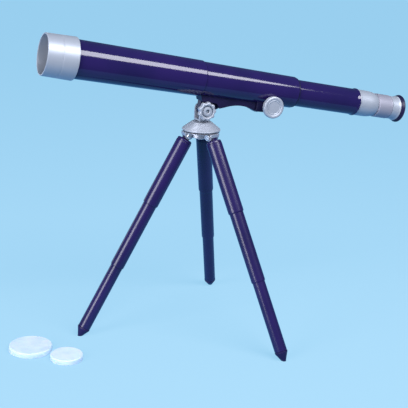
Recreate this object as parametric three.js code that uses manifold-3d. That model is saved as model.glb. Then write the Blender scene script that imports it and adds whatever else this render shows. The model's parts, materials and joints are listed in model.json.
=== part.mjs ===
// A small refracting telescope on a folding tabletop tripod, with its two dust caps beside it.
// Millimetres, +Z up. The objective end points to -X and the eyepiece end to +X.
import * as THREE from "three";
import { mergeVertices } from "three/addons/utils/BufferGeometryUtils.js";
import Module from "manifold-3d";

const wasm = await Module();
wasm.setup();

// ---- Driving dimensions ----

const GAP = 0.3; // clearance between pieces that touch or slide
const WALL = 1.2; // moulded wall

// Tripod: leg hinges round the hub, and the circle that the feet stand on
const FOOT_CIRCLE = 113.9;
const HINGE_CIRCLE = 13.5;
const HINGE_HEIGHT = 194.5;
const SPREAD = Math.atan((FOOT_CIRCLE - HINGE_CIRCLE) / HINGE_HEIGHT);
const LEG_LENGTH = HINGE_HEIGHT / Math.cos(SPREAD);
const LEG_AZIMUTHS = { left: 176.5, right: 296.5, back: 56.5 };

// Leg tubes, by distance from the hinge pin along the leg
const LEG_TOP = 4.1;
const UPPER_END = 74.5;
const MIDDLE_END = 142;
const LOWER_END = 209.4;
const LEG_OVERLAP = 8; // how much of a tube stays inside the next one at full reach
const UPPER_RADIUS = 7.4;
const MIDDLE_RADIUS = 6.6;
const LOWER_RADIUS = 5.9;
const UPPER_BORE = MIDDLE_RADIUS + GAP;
const MIDDLE_BORE = LOWER_RADIUS + GAP;
const LOWER_BORE = 5.4;
const KNUCKLE_DEPTH = 16; // how far the knuckle's plug reaches from the pin
const TAB_HALF = 2.8;
const TAB_ROUND = 2.7;

// Crown: the hub casting that carries the three clevises
const CROWN_BOTTOM = 192.8;
const CROWN_CORE = 12;
const CROWN_PLATE = 17.4;
const PLATE_BOTTOM = 197.3;
const PLATE_TOP = 198.2;
const EAR_INNER = TAB_HALF + 0.4;
const EAR_OUTER = 5.6;
const EAR_ROUND = 3.6;
const EAR_REACH = 4.5; // from the pin to the outside of the wall that joins a pair of ears
const EAR_WALL = 1.1;
const HINGE_BOLT = 1.3;

// Pan head and the fork that the telescope tilts in
const HEAD_BOTTOM = 199.2;
const HEAD_RIM = 18.2;
const HEAD_RIM_TOP = 200.5;
const HEAD_TOP = 207.9;
const HEAD_TOP_RADIUS = 8.7;
const PIVOT_HEIGHT = 218.9;
const FORK_FLOOR = 210.2;
const LUG_HALF = 3.6;
const FORK_INNER = 4.6;
const FORK_OUTER = 7.2;
const FORK_HALF_WIDTH = 5.1;
const TILT_BOLT = 1.6;
const TILT_KNOB_RADIUS = 8.9;
const TILT_KNOB_LOBES = 9;
const TILT_KNOB_FACE = -13.4;
const TILT_KNOB_BACK = -8.4;

// Telescope: stations along the optical axis from the foot of the tilt pivot
const REST_TILT = THREE.MathUtils.degToRad(8.7);
const AXIS_ABOVE_PIVOT = 28.2;
const SHIELD_FRONT = -158;
const SHIELD_REAR = -130;
const SHIELD_SHOULDER = -146;
const FRONT_TUBE_START = -145.6;
const TUBE_STEP = -8;
const MIDDLE_TUBE_END = 91.5;
const DRAW_START = 41;
const DRAW_REAR = 164;
const HOLDER_FRONT = 164.3;
const HOLDER_REAR = 188;
const BARREL_REAR = 205.2;
const SLEEVE_REAR = 215;
const EYECUP_REAR = 219.1;
const SHIELD_FRONT_RADIUS = 18.6;
const SHIELD_REAR_RADIUS = 19.2;
const FRONT_TUBE_RADII = [17.45, 16.55];
const MIDDLE_TUBE_RADII = [15.75, 15.05];
const MIDDLE_BORE_RADIUS = 13.9;
const DRAW_RADIUS = 12.85;
const DRAW_BORE = 11.4;
const LENS_RADIUS = 15.6;
const LENS_FRONT_EDGE = -141.2;
const LENS_REAR_EDGE = -138.4;
const RING_RADIUS = 15.85; // objective cell and retaining ring
const APERTURE = 13.4;

// Rack and pinion
const MODULE = 0.8;
const PINION_TEETH = 8;
const PINION_PITCH_RADIUS = (MODULE * PINION_TEETH) / 2;
const RACK_PITCH = Math.PI * MODULE;
const PINION_STATION = 64.8;
const PINION_DROP = 15.2; // below the optical axis
const PINION_HALF = 2.2;
const RACK_START = 47.6;
const RACK_END = 116.6;
const RACK_HALF = 2.3;
const SHAFT_RADIUS = 1.5;
const FOCUS_KNOB_RADIUS = 10.5;
const FOCUS_KNOB_FACE = 18.6;

// Bracket under the middle tube
const BRACKET_HALF = 6.8;
const HOUSING_HALF = 9;
const BRACKET_REAR = 51.3;
const HOUSING_REAR = 77.5;
const SCREW_STATIONS = { front: 27, rear: 46 };

// Dust caps lying on the table
const BIG_CAP = { x: -165.1, y: -9.1, radius: 19.9, height: 4.8 };
const SMALL_CAP = { x: -138.5, y: -36.8, radius: 15, height: 4.6 };

const BIG = 32; // segments round a large tube
const MEDIUM = 20;
const SMALL = 12;

// ---- Materials ----

const finish = (color, roughness, metalness) => new THREE.MeshStandardMaterial({ color, roughness, metalness });
const PURPLE = finish(0x2c2870, 0.15, 0);
const DARK_PURPLE = finish(0x1b1a45, 0.35, 0);
const SILVER = finish(0xc3cad6, 0.35, 0.7);
const STEEL = finish(0xd8dbe0, 0.2, 1);
const BRASS = finish(0xb59a55, 0.35, 1);
const BLACK = finish(0x16161c, 0.6, 0);
const GLASS = finish(0xdfe8f2, 0.02, 0);
const CLEAR = finish(0xd6ebf8, 0.4, 0);

// ---- Tools for making solids ----

function solid(geometry) {
  const bare = geometry.clone();
  bare.deleteAttribute("normal");
  bare.deleteAttribute("uv");
  const shared = mergeVertices(bare, 1e-4);
  const vertProperties = new Float32Array(shared.attributes.position.array);
  const triVerts = new Uint32Array(shared.index.array);
  return new wasm.Manifold(new wasm.Mesh({ numProp: 3, vertProperties, triVerts }));
}

function geometryOf(manifold) {
  const mesh = manifold.getMesh();
  const geometry = new THREE.BufferGeometry();
  geometry.setAttribute("position", new THREE.BufferAttribute(mesh.vertProperties, 3));
  geometry.setIndex(new THREE.BufferAttribute(mesh.triVerts, 1));
  return geometry;
}

function cut(base, ...tools) {
  return geometryOf(tools.reduce((left, tool) => left.subtract(solid(tool)), solid(base)));
}

function join(first, ...others) {
  return geometryOf(others.reduce((sum, other) => sum.add(solid(other)), solid(first)));
}

// A profile of [radius, height] points turned about +Z. It starts and ends on the axis or closes on itself.
function turned(profile, segments) {
  const points = profile.map(([radius, height]) => new THREE.Vector2(radius, height));
  if (points[0].x > 0) points.push(points[0].clone());
  if (THREE.ShapeUtils.area(points) < 0) points.reverse();
  return new THREE.LatheGeometry(points, segments).rotateX(Math.PI / 2);
}

// The same with the axis along +X, or along +Y.
const turnedAlongX = (profile, segments) => turned(profile, segments).rotateY(Math.PI / 2);
const turnedAlongY = (profile, segments) => turned(profile, segments).rotateX(-Math.PI / 2);

// A plain tube or rod between two stations.
function ring(outer, inner, from, to) {
  return [
    [outer, from],
    [outer, to],
    [inner, to],
    [inner, from],
  ];
}

function rod(radius, from, to) {
  return [
    [0, from],
    [radius, from],
    [radius, to],
    [0, to],
  ];
}

// A plate with an outline in the XZ plane, centred on y = 0.
function plate(shape, halfThickness, curveSegments = 8) {
  const depth = 2 * halfThickness;
  const options = { depth, bevelEnabled: false, curveSegments };
  return new THREE.ExtrudeGeometry(shape, options).rotateX(Math.PI / 2).translate(0, halfThickness, 0);
}

function outline(points) {
  return new THREE.Shape(points.map(([x, z]) => new THREE.Vector2(x, z)));
}

function block(x0, x1, y0, y1, z0, z1) {
  const box = new THREE.BoxGeometry(x1 - x0, y1 - y0, z1 - z0);
  return box.translate((x0 + x1) / 2, (y0 + y1) / 2, (z0 + z1) / 2);
}

function add(parent, name, geometry, material) {
  const mesh = new THREE.Mesh(geometry, material);
  mesh.name = name;
  parent.add(mesh);
  return mesh;
}

const root = new THREE.Group();

// ---- Telescope: everything that tilts, in a group whose origin is the tilt pivot ----

const scope = new THREE.Group();
scope.position.z = PIVOT_HEIGHT;
scope.rotation.y = REST_TILT;
root.add(scope);

const optics = new THREE.Group(); // its X axis is the optical axis
optics.position.z = AXIS_ABOVE_PIVOT;
scope.add(optics);

// Radius of a tapered tube at a station.
function taper([front, rear], from, to, station) {
  return THREE.MathUtils.lerp(front, rear, (station - from) / (to - from));
}

const middleRadius = (station) => taper(MIDDLE_TUBE_RADII, TUBE_STEP, MIDDLE_TUBE_END, station);

function addObjectiveEnd() {
  const tubeGrip = FRONT_TUBE_RADII[0] + GAP;
  const shield = [
    [SHIELD_FRONT_RADIUS, SHIELD_FRONT],
    [SHIELD_REAR_RADIUS, SHIELD_REAR - 0.3],
    [SHIELD_REAR_RADIUS - 0.2, SHIELD_REAR],
    [tubeGrip, SHIELD_REAR],
    [tubeGrip, SHIELD_SHOULDER + GAP],
    [16.9, SHIELD_SHOULDER],
    [17.3, SHIELD_FRONT],
  ];
  add(optics, "dew_shield", turnedAlongX(shield, BIG), SILVER);
  const frontTube = [
    [FRONT_TUBE_RADII[0], FRONT_TUBE_START],
    [FRONT_TUBE_RADII[1], TUBE_STEP],
    [FRONT_TUBE_RADII[1] - WALL, TUBE_STEP],
    [FRONT_TUBE_RADII[0] - WALL, FRONT_TUBE_START],
  ];
  add(optics, "front_tube", turnedAlongX(frontTube, BIG), PURPLE);
  const bulge = 1.6;
  const surface = (edge, side) =>
    [0, 0.35, 0.7].map((share) => [LENS_RADIUS * share, edge + side * bulge * (1 - share * share)]);
  const lens = [
    ...surface(LENS_FRONT_EDGE, -1),
    [LENS_RADIUS, LENS_FRONT_EDGE],
    [LENS_RADIUS, LENS_REAR_EDGE],
    ...surface(LENS_REAR_EDGE, 1).reverse(),
  ];
  add(optics, "objective_lens", turnedAlongX(lens, MEDIUM), GLASS);
  const clear = 0.6; // room for the lens surface to bulge inside a ring
  const retainer = ring(RING_RADIUS, APERTURE, LENS_FRONT_EDGE - 3, LENS_FRONT_EDGE - clear);
  add(optics, "lens_retaining_ring", turnedAlongX(retainer, MEDIUM), BLACK);
  const cell = ring(RING_RADIUS, APERTURE, LENS_REAR_EDGE + clear, LENS_REAR_EDGE + 7);
  add(optics, "objective_cell", turnedAlongX(cell, MEDIUM), BLACK);
  add(optics, "baffle_ring", turnedAlongX(ring(15.3, 11, -61, -59.5), MEDIUM), BLACK);
}

function addMiddleTube() {
  const plugRadius = FRONT_TUBE_RADII[1] - WALL - GAP;
  const profile = [
    [plugRadius, TUBE_STEP - 10],
    [plugRadius, TUBE_STEP + GAP],
    [MIDDLE_TUBE_RADII[0], TUBE_STEP + GAP],
    [MIDDLE_TUBE_RADII[1], MIDDLE_TUBE_END],
    [MIDDLE_BORE_RADIUS, MIDDLE_TUBE_END],
    [MIDDLE_BORE_RADIUS, TUBE_STEP - 10],
  ];
  const windowHalf = PINION_PITCH_RADIUS + 1.6;
  const pinionWindow = block(PINION_STATION - windowHalf, PINION_STATION + windowHalf, -7.8, 7.8, -20, -9);
  const holes = Object.values(SCREW_STATIONS).map((station) =>
    turned(rod(1.6, -20, -10), SMALL).translate(station, 0, 0),
  );
  add(optics, "middle_tube", cut(turnedAlongX(profile, BIG), pinionWindow, ...holes), PURPLE);
  const lip = MIDDLE_TUBE_END + GAP;
  const guide = [
    [MIDDLE_BORE_RADIUS - GAP, MIDDLE_TUBE_END - 11],
    [MIDDLE_BORE_RADIUS - GAP, lip],
    [14.6, lip],
    [14.3, lip + 1.4],
    [DRAW_RADIUS + GAP, lip + 1.4],
    [DRAW_RADIUS + GAP, MIDDLE_TUBE_END - 11],
  ];
  add(optics, "draw_tube_guide", turnedAlongX(guide, BIG), BLACK);
}

// The bracket hugs the middle tube, comes down to the pivot lug, and arches back to the focus housing.
function addBracket() {
  const insideTube = 17.2; // above the tube's underside, so the tube's own shape trims the saddle
  const body = outline([
    [-6.9, insideTube],
    [-6.8, 12.9],
    [-4.6, 7.8],
    [10.5, 7.8],
    [14.5, 3.4],
    [19, 5],
  ]);
  body.quadraticCurveTo(36, 12.2, BRACKET_REAR, 6.1);
  body.lineTo(BRACKET_REAR, insideTube);
  const lug = new THREE.Shape();
  lug.moveTo(-4.6, 9.5);
  lug.lineTo(-4.6, 0);
  lug.absarc(0, 0, 4.6, Math.PI, Math.PI * 1.6, false);
  lug.lineTo(14.2, 2.6);
  lug.lineTo(18, 9.5);
  const tubeSpace = turnedAlongX(
    [
      [0, -30],
      [FRONT_TUBE_RADII[1] + 2 * GAP, -30],
      [FRONT_TUBE_RADII[1] + 2 * GAP, TUBE_STEP + GAP],
      [middleRadius(TUBE_STEP) + GAP, TUBE_STEP + GAP],
      [middleRadius(110) + GAP, 110],
      [0, 110],
    ],
    BIG,
  ).translate(0, 0, AXIS_ABOVE_PIVOT);
  const pivotBore = turnedAlongY(rod(TILT_BOLT + GAP, -10, 10), SMALL);
  const screwBores = Object.values(SCREW_STATIONS).flatMap((station) => [
    turned(rod(1.5, 0, 20), SMALL).translate(station, 0, 0),
    turned(rod(2.9, 0, 10.5), SMALL).translate(station, 0, 0),
  ]);
  const bracket = join(plate(body, BRACKET_HALF), plate(lug, LUG_HALF));
  add(scope, "mounting_bracket", cut(bracket, tubeSpace, pivotBore, ...screwBores), DARK_PURPLE);
  for (const [place, station] of Object.entries(SCREW_STATIONS)) {
    const screw = turned(
      [
        [0, 8.2],
        [1.8, 8.4],
        [2.5, 9],
        [2.5, 10.2],
        [1.2, 10.2],
        [1.2, 14.1],
        [0, 14.1],
      ],
      SMALL,
    );
    add(scope, "bracket_screw_" + place, screw.translate(station, 0, 0), STEEL);
  }
  const housing = outline([
    [BRACKET_REAR + GAP, insideTube],
    [BRACKET_REAR + GAP, 5.9],
    [57.5, 6],
    [71, 6.8],
    [HOUSING_REAR - 0.6, 13.6],
    [HOUSING_REAR, insideTube],
  ]);
  const shaftBore = turnedAlongY(rod(SHAFT_RADIUS + GAP, -20, 20), SMALL);
  shaftBore.translate(PINION_STATION, 0, AXIS_ABOVE_PIVOT - PINION_DROP);
  const pocketHalf = PINION_PITCH_RADIUS + 1.6;
  const pocket = block(PINION_STATION - pocketHalf, PINION_STATION + pocketHalf, -4, 4, 8.4, 20);
  const cover = cut(plate(housing, HOUSING_HALF), tubeSpace, shaftBore, pocket);
  add(scope, "pinion_housing", cover, DARK_PURPLE);
}

// ---- Draw tube, eyepiece holder and rack: these slide in and out to focus ----

function addDrawTube() {
  const tube = [
    [13.5, DRAW_START],
    [13.5, DRAW_START + 4.5],
    [DRAW_RADIUS, DRAW_START + 4.5],
    [DRAW_RADIUS, DRAW_REAR - 2],
    [13.7, DRAW_REAR - 0.5],
    [13.4, DRAW_REAR],
    [DRAW_BORE, DRAW_REAR],
    [DRAW_BORE, DRAW_START],
  ];
  const slotHalf = RACK_HALF + GAP;
  const slot = block(RACK_START - GAP, RACK_END + GAP, -slotHalf, slotHalf, -20, -5);
  add(optics, "draw_tube", cut(turnedAlongX(tube, BIG), slot), PURPLE);
  add(optics, "focus_rack", plate(rackOutline(), RACK_HALF), BLACK);
  const holder = [
    [11.1, 154],
    [11.1, HOLDER_FRONT],
    [13, HOLDER_FRONT],
    [13.2, HOLDER_FRONT + 0.8],
    [12.95, HOLDER_FRONT + 1.6],
    [12.95, 181.6],
    [12.6, 184.6],
    [11.6, 187.2],
    [11, HOLDER_REAR],
    [9.6, HOLDER_REAR],
    [9.6, 154],
  ];
  add(optics, "eyepiece_holder", turnedAlongX(holder, BIG), SILVER);
}

// Teeth point down, away from the optical axis. A gap between two teeth sits over the pinion at rest.
function rackOutline() {
  const pitchLine = -(PINION_DROP - PINION_PITCH_RADIUS);
  const root = pitchLine + MODULE * 1.2;
  const tip = pitchLine - MODULE * 0.75;
  const points = [
    [RACK_START, root + 1.1],
    [RACK_START, root],
  ];
  const firstGap = Math.ceil((RACK_START - PINION_STATION) / RACK_PITCH + 0.5);
  const lastGap = Math.floor((RACK_END - PINION_STATION) / RACK_PITCH - 0.5);
  for (let gap = firstGap; gap < lastGap; gap += 1) {
    const middle = PINION_STATION + (gap + 0.5) * RACK_PITCH;
    points.push([middle - 0.85, root], [middle - 0.28, tip], [middle + 0.28, tip], [middle + 0.85, root]);
  }
  points.push([RACK_END, root], [RACK_END, root + 1.1]);
  return outline(points);
}

function addEyepiece() {
  const barrel = [
    [9.3, 168],
    [9.3, HOLDER_REAR + GAP],
    [11.7, HOLDER_REAR + GAP],
    [11.9, HOLDER_REAR + 1],
    [11.9, BARREL_REAR],
    [8.6, BARREL_REAR],
    [8.6, 172],
    [7.2, 172],
    [7.2, 168],
  ];
  add(optics, "eyepiece_barrel", turnedAlongX(barrel, MEDIUM), SILVER);
  const lens = (front, rear, bulge) => [
    [0, front - bulge],
    [4.2, front - bulge * 0.75],
    [8.2, front],
    [8.2, rear],
    [0, rear],
  ];
  add(optics, "field_lens", turnedAlongX(lens(173.6, 175.4, 1.2), SMALL), GLASS);
  add(optics, "lens_spacer", turnedAlongX(ring(8.2, 7.2, 175.8, 200.6), SMALL), BLACK);
  add(optics, "eye_lens", turnedAlongX(lens(202.2, 205, 1.4), SMALL), GLASS);
  const sleeve = [
    [11.2, BARREL_REAR + GAP],
    [11.5, BARREL_REAR + 0.9],
    [11.5, SLEEVE_REAR],
    [7.4, SLEEVE_REAR],
    [6.8, BARREL_REAR + GAP],
  ];
  add(optics, "eyepiece_sleeve", turnedAlongX(sleeve, MEDIUM), SILVER);
  const eyecup = [
    [12.3, SLEEVE_REAR + GAP],
    [13.6, EYECUP_REAR - 1.4],
    [14, EYECUP_REAR - 0.5],
    [13.7, EYECUP_REAR],
    [10.6, EYECUP_REAR],
    [8.2, SLEEVE_REAR + GAP],
  ];
  add(optics, "eyecup", turnedAlongX(eyecup, BIG), DARK_PURPLE);
}

// ---- Focus shaft: pinion and two knobs, turning about Y below the draw tube ----

function addFocusShaft() {
  const shaft = new THREE.Group();
  shaft.position.set(PINION_STATION, 0, AXIS_ABOVE_PIVOT - PINION_DROP);
  scope.add(shaft);
  add(shaft, "pinion_shaft", turnedAlongY(rod(SHAFT_RADIUS, 1 - FOCUS_KNOB_FACE, FOCUS_KNOB_FACE - 1), SMALL), STEEL);
  const bore = rod(SHAFT_RADIUS + GAP, 0.8 - FOCUS_KNOB_FACE, FOCUS_KNOB_FACE - 0.8);
  const gear = cut(plate(pinionOutline(), PINION_HALF), turnedAlongY(bore, SMALL));
  add(shaft, "pinion_gear", gear, BRASS);
  const knob = [
    [0, FOCUS_KNOB_FACE],
    [6.5, FOCUS_KNOB_FACE],
    [7, FOCUS_KNOB_FACE + 0.4],
    [9.2, FOCUS_KNOB_FACE + 0.9],
    [FOCUS_KNOB_RADIUS, FOCUS_KNOB_FACE - 0.1],
    [FOCUS_KNOB_RADIUS, 15.3],
    [9.9, 15],
    [4.2, 12.6],
    [3.6, 12],
    [3.6, 10.2],
    [0, 10.2],
  ];
  for (const [place, side] of [
    ["near", -1],
    ["far", 1],
  ]) {
    const facing = knob.map(([radius, distance]) => [radius, side * distance]);
    const shape = cut(turnedAlongY(facing, BIG), turnedAlongY(bore, SMALL));
    add(shaft, "focus_knob_" + place, shape, SILVER);
  }
}

function pinionOutline() {
  const root = PINION_PITCH_RADIUS - MODULE * 0.95;
  const tip = PINION_PITCH_RADIUS + MODULE * 0.75;
  const points = [];
  for (let tooth = 0; tooth < PINION_TEETH; tooth += 1) {
    const middle = Math.PI / 2 + (tooth * 2 * Math.PI) / PINION_TEETH;
    for (const [side, radius] of [
      [-0.3, root],
      [-0.085, tip],
      [0.085, tip],
      [0.3, root],
    ]) {
      points.push([radius * Math.cos(middle + side), radius * Math.sin(middle + side)]);
    }
  }
  return outline(points);
}

// ---- Pan head, fork and tilt clamp ----

function addHead() {
  const cone = [
    [0, HEAD_BOTTOM],
    [HEAD_RIM, HEAD_BOTTOM],
    [HEAD_RIM, HEAD_RIM_TOP],
    [HEAD_TOP_RADIUS, HEAD_TOP],
    [0, HEAD_TOP],
  ];
  const boltBore = turned(rod(2.5 + GAP, 190, 204), SMALL);
  add(root, "pan_head", cut(turned(cone, BIG), boltBore), SILVER);
  const foot = HEAD_TOP + GAP;
  const ear = new THREE.Shape();
  ear.moveTo(-FORK_HALF_WIDTH, foot);
  ear.lineTo(FORK_HALF_WIDTH, foot);
  ear.lineTo(FORK_HALF_WIDTH, PIVOT_HEIGHT);
  ear.absarc(0, PIVOT_HEIGHT, FORK_HALF_WIDTH, 0, Math.PI, false);
  const between = block(-10, 10, -FORK_INNER, FORK_INNER, FORK_FLOOR, 240);
  const bore = turnedAlongY(rod(TILT_BOLT + GAP, -10, 10), SMALL).translate(0, 0, PIVOT_HEIGHT);
  add(root, "tilt_fork", cut(plate(ear, FORK_OUTER, 10), between, bore), SILVER);
  for (const [place, side] of [
    ["near", -1],
    ["far", 1],
  ]) {
    const centre = (side * (LUG_HALF + FORK_INNER)) / 2;
    const washer = turnedAlongY(ring(4, TILT_BOLT + GAP, -0.2, 0.2), SMALL);
    add(root, "friction_washer_" + place, washer.translate(0, centre, PIVOT_HEIGHT), BLACK);
  }
  const bolt = turnedAlongY(
    [
      [0, -11.8],
      [TILT_BOLT, -11.8],
      [TILT_BOLT, FORK_OUTER + GAP],
      [3.6, FORK_OUTER + GAP],
      [3.2, FORK_OUTER + 1.8],
      [1.8, FORK_OUTER + 2.5],
      [0, FORK_OUTER + 2.6],
    ],
    SMALL,
  );
  add(root, "tilt_bolt", bolt.translate(0, 0, PIVOT_HEIGHT), STEEL);
  const grip = plate(scallop(), (TILT_KNOB_BACK - TILT_KNOB_FACE) / 2);
  grip.translate(0, (TILT_KNOB_BACK + TILT_KNOB_FACE) / 2, 0);
  const boss = turnedAlongY(rod(4, TILT_KNOB_FACE + 1, -FORK_OUTER - GAP), SMALL);
  const boltHole = turnedAlongY(rod(TILT_BOLT + GAP, -20, 0), SMALL);
  const knob = cut(join(grip, boss), boltHole);
  add(root, "tilt_knob", knob.translate(0, 0, PIVOT_HEIGHT), SILVER);
}

function scallop() {
  const steps = TILT_KNOB_LOBES * 6;
  const points = [];
  for (let step = 0; step < steps; step += 1) {
    const angle = (step * 2 * Math.PI) / steps;
    const radius = TILT_KNOB_RADIUS - 0.6 + 0.6 * Math.cos(TILT_KNOB_LOBES * angle);
    points.push([radius * Math.cos(angle), radius * Math.sin(angle)]);
  }
  return outline(points);
}

// ---- Tripod crown, pan bolt and legs ----

function addCrown() {
  const core = [
    [0, CROWN_BOTTOM],
    [CROWN_CORE, CROWN_BOTTOM],
    [CROWN_CORE, PLATE_BOTTOM],
    [CROWN_PLATE, PLATE_BOTTOM],
    [CROWN_PLATE, PLATE_TOP],
    [0, PLATE_TOP],
  ];
  const ear = new THREE.Shape();
  ear.moveTo(CROWN_CORE - 4.2, HINGE_HEIGHT);
  ear.lineTo(HINGE_CIRCLE - EAR_ROUND, HINGE_HEIGHT);
  ear.absarc(HINGE_CIRCLE, HINGE_HEIGHT, EAR_ROUND, Math.PI, Math.PI * 1.9, false);
  ear.lineTo(HINGE_CIRCLE + EAR_REACH, HINGE_HEIGHT);
  ear.lineTo(HINGE_CIRCLE + EAR_REACH, PLATE_BOTTOM + 0.2);
  ear.lineTo(CROWN_CORE - 4.2, PLATE_BOTTOM + 0.2);
  const halfThickness = (EAR_OUTER - EAR_INNER) / 2;
  const wallOutside = HINGE_CIRCLE + EAR_REACH;
  const ears = Object.values(LEG_AZIMUTHS).flatMap((azimuth) =>
    [
      plate(ear, halfThickness).translate(0, EAR_INNER + halfThickness, 0),
      plate(ear, halfThickness).translate(0, -EAR_INNER - halfThickness, 0),
      block(wallOutside - EAR_WALL, wallOutside, -EAR_OUTER, EAR_OUTER, HINGE_HEIGHT, PLATE_BOTTOM + 0.2),
    ].map((shape) => shape.rotateZ(THREE.MathUtils.degToRad(azimuth))),
  );
  const bores = Object.values(LEG_AZIMUTHS).map((azimuth) =>
    turnedAlongY(rod(HINGE_BOLT + GAP, -10, 10), SMALL)
      .translate(HINGE_CIRCLE, 0, HINGE_HEIGHT)
      .rotateZ(THREE.MathUtils.degToRad(azimuth)),
  );
  const notchStart = HINGE_CIRCLE - TAB_ROUND - 0.5; // each leg's tab stands in a notch in the core
  const notches = Object.values(LEG_AZIMUTHS).map((azimuth) =>
    block(notchStart, CROWN_CORE + 1, -EAR_INNER, EAR_INNER, CROWN_BOTTOM - 1, PLATE_BOTTOM).rotateZ(
      THREE.MathUtils.degToRad(azimuth),
    ),
  );
  const panBore = turned(rod(2.5 + GAP, 180, 210), SMALL);
  add(root, "tripod_crown", cut(join(cut(turned(core, BIG), ...notches), ...ears), panBore, ...bores), SILVER);
  const washer = ring(8, 2.5 + GAP, PLATE_TOP + 0.2, HEAD_BOTTOM - 0.2);
  add(root, "pan_washer", turned(washer, MEDIUM), BLACK);
  const head = new THREE.CylinderGeometry(4.4, 4.4, 2, 6).rotateX(Math.PI / 2);
  const panBolt = join(head.translate(0, 0, CROWN_BOTTOM - GAP - 1), turned(rod(2.5, 191, 203.6), SMALL));
  add(root, "pan_bolt", panBolt, STEEL);
}

function addLeg(place, azimuth) {
  const hub = new THREE.Group();
  hub.rotation.z = THREE.MathUtils.degToRad(azimuth);
  root.add(hub);
  const leg = new THREE.Group(); // its -Z axis runs down the leg from the hinge
  leg.position.set(HINGE_CIRCLE, 0, HINGE_HEIGHT);
  leg.rotation.y = -SPREAD;
  hub.add(leg);

  const boltHead = EAR_OUTER + GAP;
  const bolt = turnedAlongY(
    [
      [0, -EAR_OUTER - 2.2],
      [HINGE_BOLT, -EAR_OUTER - 2.2],
      [HINGE_BOLT, boltHead],
      [2.7, boltHead],
      [2.5, boltHead + 1],
      [1.6, boltHead + 1.5],
      [0, boltHead + 1.6],
    ],
    SMALL,
  );
  add(hub, "hinge_bolt_" + place, bolt.translate(HINGE_CIRCLE, 0, HINGE_HEIGHT), STEEL);
  const blank = new THREE.CylinderGeometry(2.8, 2.8, 1.8, 6).translate(0, -boltHead - 0.9, 0);
  const nut = cut(blank, turnedAlongY(rod(HINGE_BOLT + GAP, -20, 20), SMALL));
  add(hub, "hinge_nut_" + place, nut.translate(HINGE_CIRCLE, 0, HINGE_HEIGHT), STEEL);

  const cap = [
    [0, -LEG_TOP],
    [UPPER_RADIUS - 1.2, -LEG_TOP],
    [UPPER_RADIUS - 0.2, -LEG_TOP - 1],
    [UPPER_RADIUS - 0.2, -LEG_TOP - 2.4],
    [UPPER_BORE - GAP, -LEG_TOP - 2.4],
    [UPPER_BORE - GAP, -KNUCKLE_DEPTH],
    [0, -KNUCKLE_DEPTH],
  ];
  const tab = new THREE.Shape();
  tab.moveTo(-TAB_ROUND, -LEG_TOP - 1);
  tab.lineTo(TAB_ROUND, -LEG_TOP - 1);
  tab.lineTo(TAB_ROUND, 0);
  tab.absarc(0, 0, TAB_ROUND, 0, Math.PI, false);
  const pinBore = turnedAlongY(rod(HINGE_BOLT + GAP, -10, 10), SMALL);
  const knuckle = cut(join(turned(cap, MEDIUM), plate(tab, TAB_HALF)), pinBore);
  add(leg, "leg_knuckle_" + place, knuckle, DARK_PURPLE);

  const upper = ring(UPPER_RADIUS, UPPER_BORE, -UPPER_END, -LEG_TOP - 2.4 - GAP);
  add(leg, "leg_upper_" + place, turned(upper, MEDIUM), PURPLE);
  const middle = ring(MIDDLE_RADIUS, MIDDLE_BORE, -MIDDLE_END, -UPPER_END + LEG_OVERLAP);
  add(leg, "leg_middle_" + place, turned(middle, MEDIUM), PURPLE);
  const lower = ring(LOWER_RADIUS, LOWER_BORE, -LOWER_END, -MIDDLE_END + LEG_OVERLAP);
  add(leg, "leg_lower_" + place, turned(lower, MEDIUM), PURPLE);

  const tip = [
    [0, -LOWER_END + 5],
    [LOWER_BORE - GAP, -LOWER_END + 5],
    [LOWER_BORE - GAP, -LOWER_END - GAP],
    [LOWER_RADIUS + 0.15, -LOWER_END - GAP],
    [LOWER_RADIUS + 0.15, -LOWER_END - 1.8],
    [2.1, -LEG_LENGTH],
    [1.5, -LEG_LENGTH - 2],
    [0, -LEG_LENGTH - 2],
  ];
  leg.updateMatrix();
  const ground = block(-60, 60, -60, 60, -60, 0).translate(FOOT_CIRCLE, 0, 0);
  const foot = cut(turned(tip, MEDIUM), ground.applyMatrix4(leg.matrix.clone().invert()));
  add(leg, "leg_foot_" + place, foot, DARK_PURPLE);
}

// ---- Dust caps: a flat disc with a short skirt, open side down ----

function addCap(name, { x, y, radius, height }) {
  const profile = [
    [0, height],
    [radius - 0.9, height],
    [radius - 0.3, height - 0.5],
    [radius, 0],
    [radius - WALL, 0],
    [radius - WALL, height - WALL],
    [0, height - WALL],
  ];
  const mesh = add(root, name, turned(profile, BIG), CLEAR);
  mesh.position.set(x, y, 0);
}

addObjectiveEnd();
addMiddleTube();
addBracket();
addDrawTube();
addEyepiece();
addFocusShaft();
addHead();
addCrown();
for (const [place, azimuth] of Object.entries(LEG_AZIMUTHS)) addLeg(place, azimuth);
addCap("objective_cap", BIG_CAP);
addCap("eyepiece_cap", SMALL_CAP);

// The frame's origin is the middle of the whole object's base.
const bounds = new THREE.Box3().setFromObject(root, true);
const middle = bounds.getCenter(new THREE.Vector3());
root.position.set(-middle.x, -middle.y, -bounds.min.z);

export default root;
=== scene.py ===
"""A small refracting telescope on a folding tabletop tripod, with its two dust caps.

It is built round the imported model. Shapes are worked out in millimetres, in the frame of the
part that they belong to, then put in place in metres.
"""

import json
import math

import bmesh
import bpy
from mathutils import Matrix, Vector

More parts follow.
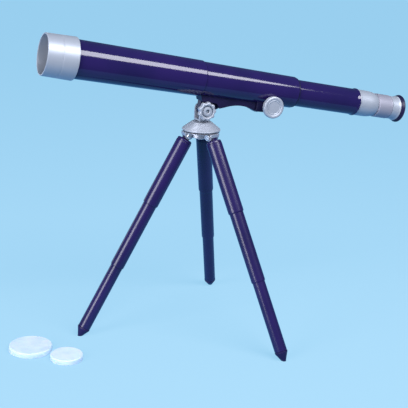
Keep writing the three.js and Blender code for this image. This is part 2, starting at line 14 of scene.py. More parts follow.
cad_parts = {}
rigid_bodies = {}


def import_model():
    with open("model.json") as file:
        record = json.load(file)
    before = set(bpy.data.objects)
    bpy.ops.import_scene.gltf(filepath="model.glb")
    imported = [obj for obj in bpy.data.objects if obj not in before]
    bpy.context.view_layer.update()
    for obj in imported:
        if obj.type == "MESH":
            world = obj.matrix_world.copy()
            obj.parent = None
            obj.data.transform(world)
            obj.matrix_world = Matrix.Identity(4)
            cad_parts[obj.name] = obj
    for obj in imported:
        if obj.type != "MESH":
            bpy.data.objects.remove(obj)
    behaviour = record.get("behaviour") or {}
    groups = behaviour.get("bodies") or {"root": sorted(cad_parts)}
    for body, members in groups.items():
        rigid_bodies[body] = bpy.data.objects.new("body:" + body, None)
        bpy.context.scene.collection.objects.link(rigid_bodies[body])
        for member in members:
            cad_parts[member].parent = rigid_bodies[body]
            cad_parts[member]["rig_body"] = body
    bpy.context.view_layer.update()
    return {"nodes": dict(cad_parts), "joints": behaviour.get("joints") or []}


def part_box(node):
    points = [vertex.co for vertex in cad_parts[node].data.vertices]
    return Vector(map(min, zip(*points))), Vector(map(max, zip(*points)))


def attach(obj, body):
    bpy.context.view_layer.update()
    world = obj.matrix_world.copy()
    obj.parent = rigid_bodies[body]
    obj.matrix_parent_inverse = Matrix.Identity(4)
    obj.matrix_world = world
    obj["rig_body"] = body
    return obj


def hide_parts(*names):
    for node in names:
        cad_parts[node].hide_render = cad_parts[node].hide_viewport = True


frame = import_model()
joints = {joint["name"]: joint for joint in frame["joints"]}
LEGS = ("left", "right", "back")
SCREW_STATIONS = {"front": 27, "rear": 46}  # along the tube from the tilt pivot
PIVOT_BORE = (1.8, 9)  # radius and half length of the bore for the tilt bolt
WELD = 2e-3  # vertices closer than this are merged after a cut or a join
ROUND_OVER = math.radians(32)  # edges sharper than this are rounded
CREASE_OVER = math.radians(42)  # edges sharper than this are shaded as creases
LAMP_TINT = (0.93, 0.94, 1.0)
FLOOR_REACH = 30  # half the width of the floor, in metres
FLOOR_NEAR_EDGE = 0.25  # from the origin towards the viewer, in metres


# ---- Frames, in millimetres ----


def frame_at(origin, x_axis, y_axis):
    """A millimetre frame at a point, with its X and Y along two directions."""
    x = Vector(x_axis).normalized()
    y = Vector(y_axis).normalized()
    turn = Matrix((x, y, x.cross(y))).transposed().to_4x4()
    return Matrix.Translation(origin) @ turn @ Matrix.Scale(0.001, 4)


PIVOT = Vector(joints["tilt"]["pos_m"])
SIGHT_LINE = Vector(joints["focus"]["axis"])
AXIS_RISE = 28.2  # from the tilt pivot up to the optical axis
SCOPE = frame_at(PIVOT, SIGHT_LINE, (0, 1, 0))
Z_TO_X = Matrix.Rotation(math.radians(90), 4, "Y")
Z_TO_NEAR = Matrix.Rotation(math.radians(90), 4, "X")
Z_TO_FAR = Matrix.Rotation(math.radians(-90), 4, "X")
OPTICS = SCOPE @ Matrix.Translation((0, 0, AXIS_RISE)) @ Z_TO_X
HUB = frame_at((PIVOT.x, PIVOT.y, 0), (1, 0, 0), (0, 1, 0))
PIVOT_FRAME = frame_at(PIVOT, (1, 0, 0), (0, 1, 0))
FOCUS_SHAFT = frame_at(joints["focus_turn"]["pos_m"], SIGHT_LINE, (0, 1, 0))


def leg_frame(place):
    """At the hinge pin, with Z up along the leg and Y along the pin."""
    up = Vector(joints[f"leg_{place}_slide_middle"]["axis"])
    pin = Vector(joints[f"leg_{place}_fold"]["axis"])
    return frame_at(joints[f"leg_{place}_fold"]["pos_m"], pin.cross(up), pin)


def clevis_frame(place):
    """At the hinge pin, with Z upright, X outwards from the hub and Y along the pin."""
    pin = Vector(joints[f"leg_{place}_fold"]["axis"])
    return frame_at(joints[f"leg_{place}_fold"]["pos_m"], pin.cross((0, 0, 1)), pin)


# ---- Finishes ----


class Signal:
    """A pattern's value in a finish, so that sums and products of patterns read as plain maths."""

    def __init__(self, finish, socket):
        self.finish = finish
        self.socket = socket

    def maths(self, operation, first, second):
        settings = {"operation": operation}
        return self.finish.node("ShaderNodeMath", settings, {0: first, 1: second})

    def __add__(self, other):
        return self.maths("ADD", self, other)

    def __radd__(self, other):
        return self.maths("ADD", other, self)

    def __sub__(self, other):
        return self.maths("SUBTRACT", self, other)

    def __rsub__(self, other):
        return self.maths("SUBTRACT", other, self)

    def __mul__(self, other):
        return self.maths("MULTIPLY", self, other)

    def __rmul__(self, other):
        return self.maths("MULTIPLY", other, self)


class Finish:
    """One material and the nodes that make its pattern."""

    def __init__(self, name, **constants):
        self.material = bpy.data.materials.new(name)
        self.material.use_nodes = True
        self.nodes = self.material.node_tree.nodes
        self.surface = self.nodes["Principled BSDF"]
        for socket, value in constants.items():
            self.surface.inputs[socket.replace("_", " ")].default_value = value
        self.place = self.node("ShaderNodeTexCoord", output="Object")

    def node(self, kind, settings=(), inputs=(), output=0):
        made = self.nodes.new(kind)
        for name, value in dict(settings).items():
            if name == "stops":
                ramp = made.color_ramp.elements
                for element, (position, color) in zip(ramp, value):
                    element.position = position
                    element.color = color
            else:
                setattr(made, name, value)
        for name, value in dict(inputs).items():
            self.feed(made.inputs[name], value)
        return Signal(self, made.outputs[output])

    def feed(self, socket, value):
        if isinstance(value, Signal):
            self.material.node_tree.links.new(value.socket, socket)
        else:
            socket.default_value = value

    def grain(self, scale, detail=2.0, stretch=(1, 1, 1)):
        """Soft noise from 0 to 1, at a scale in cells per metre."""
        spot = self.node("ShaderNodeMapping", {}, {"Vector": self.place, "Scale": stretch})
        inputs = {"Vector": spot, "Scale": scale, "Detail": detail}
        return self.node("ShaderNodeTexNoise", {}, inputs)

    def blend(self, share, first, second):
        """A colour between two colours."""
        return self.node(
            "ShaderNodeMix", {"data_type": "RGBA"}, {0: share, 6: first, 7: second}, output=2
        )

    def ramp(self, value, low, high):
        """The value stretched so that low gives 0 and high gives 1."""
        settings = {"interpolation_type": "SMOOTHSTEP"}
        return self.node("ShaderNodeMapRange", settings, {"Value": value, 1: low, 2: high})

    def wear(self, color=None, roughness=None, height=None, depth=0.00002, metallic=None):
        if color is not None:
            self.feed(self.surface.inputs["Base Color"], color)
        if roughness is not None:
            self.feed(self.surface.inputs["Roughness"], roughness)
        if metallic is not None:
            self.feed(self.surface.inputs["Metallic"], metallic)
        if height is not None:
            inputs = {"Height": height, "Distance": depth, "Strength": 1.0}
            bump = self.node("ShaderNodeBump", {}, inputs)
            self.feed(self.surface.inputs["Normal"], bump)
        return self.material


def purple_lacquer(name, roughness):
    """Deep purple painted tube: even colour, slight flow in the polish and a few dust nibs."""
    finish = Finish(name)
    flow = finish.grain(60, 3.0, (0.25, 1, 1))
    cloud = finish.grain(24, 2.0)
    dark, light = (0.0115, 0.0075, 0.058, 1), (0.0175, 0.009, 0.075, 1)
    color = finish.blend(finish.ramp(cloud, 0.3, 0.7), dark, light)
    nibs = finish.ramp(finish.grain(900, 1.0), 0.74, 0.82)
    height = flow * 0.35 + nibs * 0.5 + finish.grain(2500, 2.0) * 0.06
    return finish.wear(color, flow * 0.06 + roughness, height, 0.00001)


def purple_moulding(name, dark, light):
    """Purple moulding with a fine satin texture."""
    finish = Finish(name, Specular_IOR_Level=0.25)
    texture = finish.grain(1800, 3.0)
    cloud = finish.grain(35, 2.0)
    color = finish.blend(finish.ramp(cloud, 0.3, 0.7), dark, light)
    return finish.wear(color, texture * 0.15 + 0.3, texture + cloud * 0.5, 0.00003)


def silver_lacquer(name="silver_lacquer", tint=(0.42, 0.45, 0.51, 1), roughness=0.42):
    """Silver metallic paint: fine flake in a satin clear coat."""
    finish = Finish(name)
    flake = finish.grain(5200, 1.0)
    cloud = finish.grain(45, 3.0)
    dark = tuple(0.86 * channel for channel in tint[:3]) + (1,)
    color = finish.blend(finish.ramp(flake, 0.35, 0.65), dark, tint)
    metallic = 0.3 + 0.08 * finish.ramp(cloud, 0.3, 0.7)
    gloss = roughness + 0.1 * (cloud - 0.5) + 0.08 * flake
    return finish.wear(color, gloss, flake, 0.000002, metallic)


def plated_casting():
    """Bright plating over a casting: slightly wavy, with small dull spots."""
    finish = Finish("plated_casting")
    wave = finish.grain(260, 3.0)
    spots = finish.ramp(finish.grain(1400, 2.0), 0.62, 0.8)
    color = finish.blend(spots, (0.50, 0.51, 0.56, 1), (0.36, 0.38, 0.44, 1))
    return finish.wear(color, 0.26 + 0.1 * wave + 0.2 * spots, wave, 0.00003, 0.62 - 0.15 * spots)


def turned_steel():
    """Bright turned screw and bolt heads."""
    finish = Finish("turned_steel")
    lines = finish.grain(2400, 2.0, (1, 1, 0.2))
    color = finish.blend(lines, (0.72, 0.74, 0.78, 1), (0.86, 0.87, 0.9, 1))
    return finish.wear(color, 0.24 + 0.14 * lines, lines, 0.000008, 0.85 - 0.08 * lines)


def cut_brass():
    """Brass with the fine lines of the cutter."""
    finish = Finish("cut_brass")
    lines = finish.grain(2200, 2.0, (1, 0.15, 1))
    color = finish.blend(lines, (0.55, 0.39, 0.14, 1), (0.74, 0.56, 0.24, 1))
    return finish.wear(color, 0.26 + 0.14 * lines, lines, 0.00001, 1 - 0.1 * lines)


def black_fittings():
    """Matt black inner rings, with a little dust."""
    finish = Finish("black_fittings")
    dust = finish.grain(1300, 3.0)
    dark, light = (0.010, 0.010, 0.013, 1), (0.030, 0.030, 0.038, 1)
    color = finish.blend(finish.ramp(dust, 0.45, 0.8), dark, light)
    return finish.wear(color, 0.5 + 0.2 * dust, dust, 0.00002)


def coated_glass():
    """A clear lens with a faint bluish bloom."""
    finish = Finish("coated_glass", Transmission_Weight=1.0, IOR=1.5, Coat_Weight=0.4, Coat_IOR=1.7)
    bloom = finish.grain(90, 2.0)
    color = finish.blend(bloom, (0.93, 0.96, 1.0, 1), (0.88, 0.93, 1.0, 1))
    return finish.wear(color, 0.01 + 0.02 * bloom)


def milky_cap():
    """Milky polyethylene: soft, waxy and slightly see-through."""
    finish = Finish(
        "milky_cap",
        Subsurface_Weight=0.6,
        Subsurface_Radius=(0.6, 0.8, 1.0),
        Subsurface_Scale=0.004,
        Coat_Weight=0.2,
        Coat_Roughness=0.3,
    )
    cloud = finish.grain(120, 3.0)
    fine = finish.grain(1600, 2.0)
    dark, light = (0.62, 0.76, 0.88, 1), (0.69, 0.82, 0.92, 1)
    color = finish.blend(finish.ramp(cloud, 0.3, 0.7), dark, light)
    return finish.wear(color, 0.34 + 0.14 * fine, fine + cloud, 0.00002)


PURPLE = purple_lacquer("tube_lacquer", 0.07)
LEG_PURPLE = purple_lacquer("leg_lacquer", 0.24)
MOULDED = purple_moulding("bracket_moulding", (0.008, 0.007, 0.030, 1), (0.013, 0.010, 0.045, 1))
FOOT_PURPLE = purple_moulding("foot_moulding", (0.014, 0.009, 0.055, 1), (0.021, 0.012, 0.075, 1))
SILVER = silver_lacquer()
PALE_SILVER = silver_lacquer("pale_silver_lacquer", (0.34, 0.335, 0.40, 1), 0.5)
PLATED = plated_casting()
STEEL = turned_steel()
BRASS = cut_brass()
BLACK = black_fittings()
GLASS = coated_glass()
CAP = milky_cap()


# ---- Making solids ----


def turned(profile, steps=96):
    """A solid turned about Z.

    Its (radius, height) corners close on themselves, or start and end on the axis.
    """
    bm = bmesh.new()
    corners = [bm.verts.new((radius, 0, height)) for radius, height in profile]
    edges = [bm.edges.new(pair) for pair in zip(corners, corners[1:])]
    if profile[0][0] > 0:
        edges.append(bm.edges.new((corners[-1], corners[0])))
    bmesh.ops.spin(
        bm,
        geom=corners + edges,
        axis=(0, 0, 1),
        cent=(0, 0, 0),
        angle=math.tau,
        steps=steps,
        use_merge=True,
    )
    bmesh.ops.remove_doubles(bm, verts=bm.verts, dist=1e-4)
    bmesh.ops.recalc_face_normals(bm, faces=bm.faces)
    return bm


def ring(outer, inner, low, high, steps=96):
    """A plain ring about Z."""
    return turned([(outer, low), (outer, high), (inner, high), (inner, low)], steps)


def peg(radius, half):
    """A plain round peg about Z, centred on the origin, that a bore is cut with."""
    return turned([(0, -half), (radius, -half), (radius, half), (0, half)], 32)


def hexagon(radius, depth):
    """A six-sided head or nut about Z, centred on the origin."""
    bm = bmesh.new()
    sides = {"segments": 6, "radius1": radius, "radius2": radius, "depth": depth}
    bmesh.ops.create_cone(bm, cap_ends=True, **sides)
    return bm


def slab(outline, low, high, slices=1):
    """A plate with an outline of (x, z) corners, from y = low to y = high."""
    bm = bmesh.new()
    corners = [bm.verts.new((x, low, z)) for x, z in outline]
    face = bm.faces.new(corners)
    for step in range(slices):
        grown = bmesh.ops.extrude_face_region(bm, geom=[face])
        made = [item for item in grown["geom"] if isinstance(item, bmesh.types.BMVert)]
        bmesh.ops.translate(bm, verts=made, vec=(0, (high - low) / slices, 0))
        if step:
            bmesh.ops.delete(bm, geom=[face], context="FACES_ONLY")
        face = next(item for item in grown["geom"] if isinstance(item, bmesh.types.BMFace))
    bmesh.ops.recalc_face_normals(bm, faces=bm.faces)
    return bm


def arc(centre, radius, start, end, steps=16):
    """Points on a circle from one angle to another, in degrees."""
    angles = [math.radians(start + (end - start) * step / steps) for step in range(steps + 1)]
    return [(centre[0] + radius * math.cos(a), centre[1] + radius * math.sin(a)) for a in angles]


def soften(bm, width):
    """Rounds the sharp edges."""
    edges = [e for e in bm.edges if len(e.link_faces) == 2 and e.calc_face_angle() > ROUND_OVER]
    bmesh.ops.bevel(
        bm,
        geom=edges,
        offset=width,
        segments=3,
        profile=0.5,
        affect="EDGES",
        material=-1,
        clamp_overlap=True,
    )
    return bm


def moved(bm, matrix):
    """The same solid, put through a matrix."""
    bmesh.ops.transform(bm, matrix=matrix, verts=bm.verts)
    return bm


def loose_object(bm):
    """A plain object that holds a solid while it is joined or cut."""
    mesh = bpy.data.meshes.new("blank")
    bm.to_mesh(mesh)
    bm.free()
    blank = bpy.data.objects.new("blank", mesh)
    bpy.context.scene.collection.objects.link(blank)
    return blank


def combined(base, *tools, operation="UNION"):
    """One solid from several, joined or cut."""
    body = loose_object(base)
    cutters = [loose_object(tool) for tool in tools]
    for cutter in cutters:
        step = body.modifiers.new("combine", "BOOLEAN")
        step.operation = operation
        step.solver = "EXACT"
        step.object = cutter
    bpy.context.view_layer.update()
    evaluated = body.evaluated_get(bpy.context.evaluated_depsgraph_get())
    bm = bmesh.new()
    bm.from_mesh(evaluated.to_mesh())
    evaluated.to_mesh_clear()
    for used in [body, *cutters]:
        mesh = used.data
        bpy.data.objects.remove(used)
        bpy.data.meshes.remove(mesh)
    bmesh.ops.remove_doubles(bm, verts=bm.verts, dist=WELD)
    bmesh.ops.dissolve_degenerate(bm, edges=bm.edges, dist=WELD)
    return bm


def piece(node, bm, place, finish, soften_by=0.25):
    """Puts a finished solid in place of a CAD node, on the body that the node is on."""
    if soften_by:
        soften(bm, soften_by)
    moved(bm, place)
    mesh = bpy.data.meshes.new(node + "_finished")
    for face in bm.faces:
        face.smooth = True
    for edge in bm.edges:
        edge.smooth = len(edge.link_faces) == 2 and edge.calc_face_angle() < CREASE_OVER
    bm.to_mesh(mesh)
    bm.free()
    mesh.materials.append(finish)
    made = bpy.data.objects.new(node + "_finished", mesh)
    bpy.context.scene.collection.objects.link(made)
    shading = made.modifiers.new("even_shading", "WEIGHTED_NORMAL")
    shading.keep_sharp = True
    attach(made, frame["nodes"][node]["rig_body"])
    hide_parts(node)
    return made


# ---- Telescope ----


def make_objective_end():
    shield = [
        (18.35, -158),
        (18.6, -157.4),
        (18.86, -144.6),
        (18.72, -144.4),
        (18.74, -143.9),
        (18.9, -143.7),
        (19.2, -130.6),
        (18.95, -130.05),
        (17.75, -130.05),
        (17.75, -145.7),
        (16.9, -146),
        (17.25, -157.4),
        (17.5, -158),
    ]
    piece("dew_shield", turned(shield, 128), OPTICS, SILVER, 0.1)
    front_tube = [
        (17.45, -145.6),
        (16.55, -8.8),
        (16.2, -8.05),
        (15.35, -8.05),
        (16.2, -145.6),
    ]
    piece("front_tube", turned(front_tube, 128), OPTICS, PURPLE, 0.12)
    front = [(15.6 * k / 8, -142.8 + 1.6 * (k / 8) ** 2) for k in range(9)]
    rear = [(15.6 * k / 8, -136.8 - 1.6 * (k / 8) ** 2) for k in range(8, -1, -1)]
    piece("objective_lens", turned(front + rear, 96), OPTICS, GLASS, 0)
    retainer = [
        (15.85, -144.2),
        (15.85, -141.8),
        (13.4, -141.8),
        (13.4, -142.4),
        (14.6, -144.2),
    ]
    piece("lens_retaining_ring", turned(retainer), OPTICS, BLACK, 0.12)
    piece("objective_cell", ring(15.85, 13.4, -137.8, -131.4), OPTICS, BLACK, 0.15)
    piece("baffle_ring", ring(15.3, 11, -61, -59.5), OPTICS, BLACK, 0.15)


def make_middle_tube():
    tube = [
        (15.05, -18),
        (15.05, -7.75),
        (15.7, -7.75),
        (15.75, -7.4),
        (15.06, 90.7),
        (14.6, 91.5),
        (13.9, 91.5),
        (13.9, -18),
    ]
    opening = slab([(60, -20), (69.6, -20), (69.6, -9), (60, -9)], -7.8, 7.8)
    upright = Z_TO_X.inverted()
    cutters = [moved(opening, upright)]
    for station in SCREW_STATIONS.values():
        hole = turned([(0, -20), (1.5, -20), (1.5, -10), (0, -10)], 24)
        cutters.append(moved(hole, upright @ Matrix.Translation((station, 0, 0))))
    cut = combined(soften(turned(tube, 128), 0.12), *cutters, operation="DIFFERENCE")
    piece("middle_tube", cut, OPTICS, PURPLE, 0)
    guide = [
        (13.6, 80.5),
        (13.6, 91.7),
        (14.55, 91.7),
        (14.5, 92.6),
        (14.1, 93.15),
        (13.15, 93.15),
        (13.15, 80.5),
    ]
    piece("draw_tube_guide", turned(guide, 128), OPTICS, MOULDED, 0.12)


def tube_underside(x, y):
    """Height of the middle tube's skin above the pivot, at a station and a distance to the side."""
    radius = 15.69 - 0.7 * x / 99.2 + 0.1
    return AXIS_RISE - math.sqrt(radius * radius - y * y)


def saddled(outline, half):
    """A plate whose top edge, given at z = 17, is laid against the underside of the tube."""
    bm = slab(outline, -half, half, 12)
    for vert in bm.verts:
        if vert.co.z > 16.9:
            vert.co.z = tube_underside(vert.co.x, vert.co.y)
    bmesh.ops.recalc_face_normals(bm, faces=bm.faces)
    return bm


def make_bracket():
    top = [(51.1 - 57.9 * step / 24, 17) for step in range(25)]
    arch = []
    for step in range(13):
        share = step / 12
        start, middle, end = (1 - share) ** 2, 2 * share * (1 - share), share**2
        x = 19 * start + 36 * middle + 51.1 * end
        z = 5 * start + 12.2 * middle + 6.1 * end
        arch.append((x, z))
    front = [(-6.7, 12.9), (-4.6, 7.9), (10.6, 7.9), (14.4, 3.5)]
    body = soften(saddled(front + arch + top, 6.8), 0.45)
    lug = [(-4.5, 9.6)] + arc((0, 0), 4.5, 180, 288) + [(14.1, 2.7), (17.8, 9.6)]
    lug = soften(slab(lug, -3.6, 3.6), 0.4)
    bore = moved(peg(*PIVOT_BORE), Z_TO_FAR)
    cutters = [bore]
    for station in SCREW_STATIONS.values():
        well = [(0, 2), (2.9, 2), (2.9, 10.5), (1.4, 10.5), (1.4, 20), (0, 20)]
        cutters.append(moved(turned(well, 32), Matrix.Translation((station, 0, 0))))
    bracket = combined(combined(body, lug), *cutters, operation="DIFFERENCE")
    piece("mounting_bracket", bracket, SCOPE, MOULDED, 0)
    top = [(77.3 - 25.6 * step / 12, 17) for step in range(13)]
    housing = saddled([(51.7, 6.0), (57.5, 6.1), (71, 6.9), (76.8, 13.6)] + top, 9)
    piece("pinion_housing", housing, SCOPE, MOULDED, 0.6)
    for place, station in SCREW_STATIONS.items():
        screw = [
            (0, 9.1),
            (0.9, 9.1),
            (1.1, 8.3),
            (2.0, 8.5),
            (2.5, 9.2),
            (2.5, 10.2),
            (1.2, 10.2),
            (1.2, 14.1),
            (0, 14.1),
        ]
        under = SCOPE @ Matrix.Translation((station, 0, 0))
        piece("bracket_screw_" + place, turned(screw, 32), under, STEEL, 0.1)


# ---- Draw tube, eyepiece and focuser ----


def make_draw_tube():
    tube = [
        (13.5, 41),
        (13.5, 45.5),
        (12.85, 45.8),
        (12.85, 160.6),
        (13.05, 161.8),
        (13.62, 163.2),
        (13.66, 163.8),
        (13.4, 164),
        (11.4, 164),
        (11.4, 41),
    ]
    slot = slab([(47.3, -20), (116.9, -20), (116.9, -5), (47.3, -5)], -2.6, 2.6)
    cut = combined(turned(tube, 128), moved(slot, Z_TO_X.inverted()), operation="DIFFERENCE")
    piece("draw_tube", cut, OPTICS, PURPLE, 0)
    holder = [
        (11.1, 154),
        (11.1, 164.35),
        (12.85, 164.35),
        (13.2, 164.7),
        (13.2, 165.5),
        (12.95, 165.9),
        (12.95, 176.5),
        (12.8, 180),
        (12.35, 183.4),
        (11.7, 186.2),
        (11.1, 187.7),
        (10.6, 188),
        (9.6, 188),
        (9.6, 154),
    ]
    piece("eyepiece_holder", turned(holder, 128), OPTICS, SILVER, 0.12)


def make_eyepiece():
    barrel = [
        (9.3, 168),
        (9.3, 188.3),
        (10.9, 188.3),
        (10.9, 188.9),
        (11.7, 189.1),
        (11.9, 189.7),
        (11.9, 202.7),
        (11.72, 203),
        (11.72, 203.3),
        (11.9, 203.6),
        (11.9, 204.6),
        (11.5, 205.2),
        (8.6, 205.2),
        (8.6, 172),
        (7.2, 172),
        (7.2, 168),
    ]
    piece("eyepiece_barrel", turned(barrel, 112), OPTICS, PALE_SILVER, 0.1)
    lenses = (("field_lens", 173.6, 175.4, 1.2), ("eye_lens", 202.2, 205, 1.4))
    for name, front, rear, bulge in lenses:
        face = [(8.2 * k / 6, front - bulge * (1 - (k / 6) ** 2)) for k in range(7)]
        piece(name, turned(face + [(8.2, rear), (0, rear)], 64), OPTICS, GLASS, 0)
    piece("lens_spacer", ring(8.2, 7.2, 175.8, 200.6, 64), OPTICS, BLACK, 0.1)
    sleeve = [
        (11.0, 205.5),
        (11.5, 205.9),
        (11.5, 212.8),
        (12.3, 214.2),
        (12.5, 214.7),
        (12.3, 215),
        (7.4, 215),
        (6.8, 205.5),
    ]
    piece("eyepiece_sleeve", turned(sleeve, 112), OPTICS, SILVER, 0.1)
    eyecup = [
        (12.3, 215.3),
        (12.9, 216.2),
        (13.55, 217.4),
        (14, 218.5),
        (13.85, 219.0),
        (13.4, 219.1),
        (10.9, 219.1),
        (10.4, 218.7),
        (8.2, 215.3),
    ]
    piece("eyecup", turned(eyecup, 112), OPTICS, MOULDED, 0.15)


def make_focus_shaft():
    knob = [
        (0, 18.6),
        (5.9, 18.6),
        (6.3, 18.95),
        (6.7, 19.0),
        (7.0, 18.75),
        (7.4, 18.75),
        (7.9, 19.3),
        (8.9, 19.5),
        (9.6, 19.4),
        (10.25, 19.0),
        (10.5, 18.3),
        (10.5, 15.6),
        (10.3, 15.15),
        (9.9, 15),
        (4.2, 12.6),
        (3.6, 12),
        (3.6, 10.2),
        (1.6, 10.2),
        (1.6, 17.6),
        (0, 17.6),
    ]
    for name, facing in (("focus_knob_near", Z_TO_NEAR), ("focus_knob_far", Z_TO_FAR)):
        piece(name, turned(knob, 112), FOCUS_SHAFT @ facing, SILVER, 0.12)


# ---- Head ----


def make_head():
    ribs = 7
    cone = [(0, 204), (2.8, 204), (2.8, 199.2), (17.7, 199.2)]
    cone += [(18.2, 199.5), (18.2, 200.2), (17.9, 200.5)]
    for rib in range(ribs):
        radius = 17.7 - 1.28 * rib
        height = 200.5 + 0.99 * rib
        cone += [(radius, height), (radius - 0.1, height + 0.5), (radius - 0.45, height + 0.75)]
    cone += [(8.6, 207.7), (8.2, 207.9), (0, 207.9)]
    piece("pan_head", turned(cone, 128), HUB, SILVER, 0)
    ear = [(-5.1, -10.7), (5.1, -10.7)] + arc((0, 0), 5.1, 0, 180, 24)
    fork = slab(ear, -7.2, 7.2)
    soften(fork, 0.5)
    gap = slab([(-9, -8.7), (9, -8.7), (9, 9), (-9, 9)], -4.6, 4.6)
    bore = moved(peg(*PIVOT_BORE), Z_TO_FAR)
    fork = combined(fork, gap, bore, operation="DIFFERENCE")
    piece("tilt_fork", fork, PIVOT_FRAME, SILVER, 0)
    bolt = [
        (0, -11.6),
        (1.2, -11.6),
        (1.6, -11.2),
        (1.6, 7.5),
        (3.6, 7.5),
        (3.5, 8.4),
        (2.9, 9.2),
        (1.8, 9.7),
        (0, 9.8),
    ]
    piece("tilt_bolt", turned(bolt, 48), PIVOT_FRAME @ Z_TO_FAR, STEEL, 0.1)
    knob = [
        (1.85, 7.5),
        (1.85, 13.0),
        (2.2, 13.35),
        (3.3, 13.35),
        (4.1, 13.1),
        (4.5, 11.5),
        (5.5, 11.5),
        (5.9, 13.1),
        (6.3, 13.35),
        (7.6, 13.4),
        (8.4, 13.1),
        (8.8, 12.5),
        (8.9, 11.8),
        (8.9, 9.2),
        (8.5, 8.5),
        (4.0, 8.4),
        (4.0, 7.5),
    ]
    scallops, scallop_depth = 9, 0.07
    bm = turned(knob, 144)
    for vert in bm.verts:
        radius = math.hypot(vert.co.x, vert.co.y)
        reach = max(0.0, min(1.0, (radius - 6) / 2))
        turn = math.atan2(vert.co.y, vert.co.x)
        pull = 1 - scallop_depth * reach * (1 - math.cos(scallops * turn))
        vert.co.x *= pull
        vert.co.y *= pull
    piece("tilt_knob", bm, PIVOT_FRAME @ Z_TO_NEAR, SILVER, 0)


# ---- Tripod ----


def make_crown():
    core = [
        (2.8, 192.8),
        (11.4, 192.8),
        (11.85, 192.95),
        (12.0, 193.4),
        (12.0, 196.6),
        (12.7, 197.3),
        (17.0, 197.3),
        (17.4, 197.6),
        (17.4, 198),
        (17.1, 198.2),
        (2.8, 198.2),
    ]
    notch = [(-3.2, -3), (-0.9, -3), (-0.9, 2.75), (-3.2, 2.75)]
    ear = [(-5.5, 3.1), (-5.5, 0)] + arc((0, 0), 3.6, 180, 342) + [(4.5, 3.1)]
    wall = [(3.3, 0.1), (4.4, 0.1), (4.4, 3), (3.3, 3)]
    notches = []
    lugs = []
    for place in LEGS:
        to_hub = HUB.inverted() @ clevis_frame(place)
        notches.append(moved(slab(notch, -3.3, 3.3), to_hub))
        for outline, low, high in ((ear, -5.6, -3.2), (ear, 3.2, 5.6), (wall, -5.3, 5.3)):
            lugs.append(moved(soften(slab(outline, low, high), 0.3), to_hub))
    crown = combined(turned(core, 112), *lugs)
    crown = combined(crown, *notches, operation="DIFFERENCE")
    piece("tripod_crown", crown, HUB, PLATED, 0)
    shank = turned([(0, 191), (2.5, 191), (2.5, 203.6), (0, 203.6)], 48)
    head = moved(soften(hexagon(4.4, 2), 0.3), Matrix.Translation((0, 0, 191.5)))
    piece("pan_bolt", combined(head, shank), HUB, STEEL, 0)


def make_hinge(place):
    bolt = [
        (0, -7.7),
        (1.0, -7.7),
        (1.3, -7.4),
        (1.3, 5.9),
        (2.7, 5.9),
        (2.65, 6.6),
        (2.2, 7.2),
        (1.4, 7.45),
        (0, 7.5),
    ]
    clevis = clevis_frame(place)
    piece("hinge_bolt_" + place, turned(bolt, 48), clevis @ Z_TO_FAR, STEEL, 0.08)
    nut = combined(soften(hexagon(2.8, 1.8), 0.2), peg(1.45, 3), operation="DIFFERENCE")
    seat = clevis @ Matrix.Translation((0, -6.8, 0)) @ Z_TO_FAR
    piece("hinge_nut_" + place, nut, seat, STEEL, 0)


def make_leg(place):
    """One leg, whose foot is cut level with the floor at the spread that it stands at."""
    leg = leg_frame(place)
    cap = [
        (0, -4.1),
        (5.3, -4.1),
        (6.4, -4.4),
        (7.05, -5.1),
        (7.2, -6),
        (7.2, -6.6),
        (6.6, -6.6),
        (6.6, -16),
        (0, -16),
    ]
    tab = slab([(-2.7, -5), (2.7, -5)] + arc((0, 0), 2.7, 0, 180, 20), -2.8, 2.8)
    bore = moved(peg(1.5, 5), Z_TO_FAR)
    knuckle = combined(soften(turned(cap, 72), 0.12), soften(tab, 0.3))
    knuckle = combined(knuckle, bore, operation="DIFFERENCE")
    piece("leg_knuckle_" + place, knuckle, leg, LEG_PURPLE, 0)
    upper = [
        (7.2, -6.85),
        (7.4, -7.1),
        (7.4, -73.2),
        (7.25, -74.1),
        (7.05, -74.5),
        (6.9, -74.5),
        (6.9, -6.85),
    ]
    piece("leg_upper_" + place, turned(upper, 72), leg, LEG_PURPLE, 0)
    middle = [
        (6.6, -66.5),
        (6.6, -140.8),
        (6.5, -141.6),
        (6.35, -142),
        (6.2, -142),
        (6.2, -66.5),
    ]
    piece("leg_middle_" + place, turned(middle, 72), leg, LEG_PURPLE, 0)
    lower = [(5.9, -134), (5.9, -209.2), (5.75, -209.4), (5.4, -209.4), (5.4, -134)]
    piece("leg_lower_" + place, turned(lower, 72), leg, LEG_PURPLE, 0)
    foot = [
        (0, -204.4),
        (5.1, -204.4),
        (5.1, -209.7),
        (5.75, -209.7),
        (6.05, -210),
        (6.05, -211),
        (5.8, -211.6),
        (4.0, -215),
        (2.1, -218.9),
        (1.5, -220.9),
        (0, -220.9),
    ]
    bm = soften(turned(foot, 72), 0.1)
    moved(bm, leg)
    bmesh.ops.bisect_plane(
        bm,
        geom=bm.verts[:] + bm.edges[:] + bm.faces[:],
        plane_co=(0, 0, 0),
        plane_no=(0, 0, 1),
        clear_inner=True,
    )
    rim = [edge for edge in bm.edges if edge.is_boundary]
    bmesh.ops.contextual_create(bm, geom=rim)
    bmesh.ops.recalc_face_normals(bm, faces=bm.faces)
    piece("leg_foot_" + place, bm, Matrix.Identity(4), FOOT_PURPLE, 0)


# ---- Dust caps ----


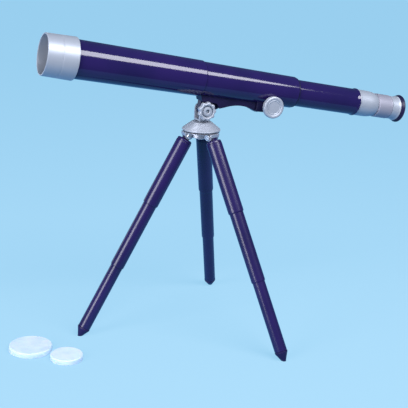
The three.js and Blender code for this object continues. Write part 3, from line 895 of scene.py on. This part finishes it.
def make_cap(node, radius, height):
    """A loose dust cap, lying open side down where its node lies."""
    low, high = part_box(node)
    wall = 1.2
    profile = [
        (0, height - 0.15),
        (radius - 2.2, height - 0.15),
        (radius - 1.6, height),
        (radius - 0.9, height),
        (radius - 0.35, height - 0.45),
        (radius - 0.05, height - 1.5),
        (radius, 0),
        (radius - wall, 0),
        (radius - wall, height - wall),
        (0, height - wall),
    ]
    middle = Matrix.Translation(((low.x + high.x) / 2, (low.y + high.y) / 2, low.z))
    piece(node, turned(profile, 96), middle @ Matrix.Scale(0.001, 4), CAP, 0.15)


make_objective_end()
make_middle_tube()
make_bracket()
make_draw_tube()
make_eyepiece()
make_focus_shaft()
make_head()
make_crown()
for leg_place in LEGS:
    make_hinge(leg_place)
    make_leg(leg_place)
make_cap("objective_cap", 19.9, 4.8)
make_cap("eyepiece_cap", 15.0, 4.6)

for kept, finish in (
    ("focus_rack", BLACK),
    ("pinion_gear", BRASS),
    ("pinion_shaft", STEEL),
    ("friction_washer_near", BLACK),
    ("friction_washer_far", BLACK),
    ("pan_washer", BLACK),
):
    mesh = frame["nodes"][kept].data
    mesh.materials.clear()
    mesh.materials.append(finish)


# ---- Studio ----


def soft_light(name, shape, at, aim, width, height, power, along):
    """A soft box at a point, facing another, with its width along a direction."""
    lamp = bpy.data.lights.new(name, "AREA")
    lamp.shape = shape
    lamp.size = width
    lamp.size_y = height
    lamp.energy = power
    lamp.color = LAMP_TINT
    away = (Vector(at) - Vector(aim)).normalized()
    side = Vector(along)
    side = (side - side.dot(away) * away).normalized()
    turn = Matrix((side, away.cross(side), away)).transposed().to_4x4()
    made = bpy.data.objects.new(name, lamp)
    made.matrix_world = Matrix.Translation(at) @ turn
    bpy.context.scene.collection.objects.link(made)


def make_floor():
    """Pale blue card, which is brighter to the camera than in reflections."""
    bm = bmesh.new()
    bmesh.ops.create_grid(bm, x_segments=1, y_segments=1, size=FLOOR_REACH)
    bmesh.ops.translate(bm, verts=bm.verts, vec=(0, FLOOR_REACH - FLOOR_NEAR_EDGE, 0))
    mesh = bpy.data.meshes.new("floor")
    bm.to_mesh(mesh)
    bm.free()
    floor = bpy.data.objects.new("floor", mesh)
    bpy.context.scene.collection.objects.link(floor)
    card = Finish("pale_blue_card", Roughness=1.0, Specular_IOR_Level=0.0, Emission_Strength=1.0)
    card.surface.inputs["Base Color"].default_value = (0.09, 0.095, 0.09, 1)
    seen = card.node("ShaderNodeLightPath")
    glow = card.blend(seen, (0.04, 0.29, 0.66, 1), (0.31, 0.61, 0.845, 1))
    card.feed(card.surface.inputs["Emission Color"], glow)
    mesh.materials.append(card.material)


def make_world():
    """The backdrop that the camera sees, and the dimmer room that lights the object."""
    world = bpy.data.worlds.new("studio")
    world.use_nodes = True
    tree = world.node_tree
    backdrop = tree.nodes["Background"]
    backdrop.inputs["Color"].default_value = (0.371, 0.679, 0.922, 1)
    room = tree.nodes.new("ShaderNodeBackground")
    room.inputs["Color"].default_value = (0.34, 0.62, 1.0, 1)
    room.inputs["Strength"].default_value = 0.2
    rays = tree.nodes.new("ShaderNodeLightPath")
    mix = tree.nodes.new("ShaderNodeMixShader")
    tree.links.new(rays.outputs["Is Camera Ray"], mix.inputs[0])
    tree.links.new(room.outputs[0], mix.inputs[1])
    tree.links.new(backdrop.outputs[0], mix.inputs[2])
    tree.links.new(mix.outputs[0], tree.nodes["World Output"].inputs["Surface"])
    bpy.context.scene.world = world


def make_camera():
    """Low three-quarter view from the objective side."""
    yaw, pitch, roll = (math.radians(angle) for angle in (24.408, 16.437, 3.054))
    ahead, down = math.cos(pitch), -math.sin(pitch)
    forward = Vector((math.sin(yaw) * ahead, math.cos(yaw) * ahead, down))
    level = Vector((math.cos(yaw), -math.sin(yaw), 0))
    upright = level.cross(forward)
    right = math.cos(roll) * level + math.sin(roll) * upright
    up = math.cos(roll) * upright - math.sin(roll) * level
    camera = bpy.data.cameras.new("camera")
    camera.sensor_width = 36
    camera.lens = 79.41
    camera.clip_end = 100
    made = bpy.data.objects.new("camera", camera)
    spot = Vector((PIVOT.x - 0.339118, PIVOT.y - 0.762838, 0.372602))
    turn = Matrix((right, up, -forward)).transposed().to_4x4()
    made.matrix_world = Matrix.Translation(spot) @ turn
    bpy.context.scene.collection.objects.link(made)
    bpy.context.scene.camera = made


make_floor()
make_world()
make_camera()
middle = PIVOT + Vector((0, 0, 0.028))
for lamp_name, outline, offset, sizes, watts, lies_along in (
    ("key", "ELLIPSE", (0.225, -0.62, 0.67), (1.0, 0.46), 14.5, SIGHT_LINE),
    ("left_fill", "RECTANGLE", (-1.3, -0.5, 0.3), (1.3, 0.6), 24, (0, 0, 1)),
    ("back_rim", "RECTANGLE", (-0.75, 1.4, -0.05), (0.9, 0.3), 1.2, (1, 0, 0)),
):
    soft_light(lamp_name, outline, middle + Vector(offset), middle, *sizes, watts, lies_along)
bpy.context.scene.view_settings.view_transform = "Standard"
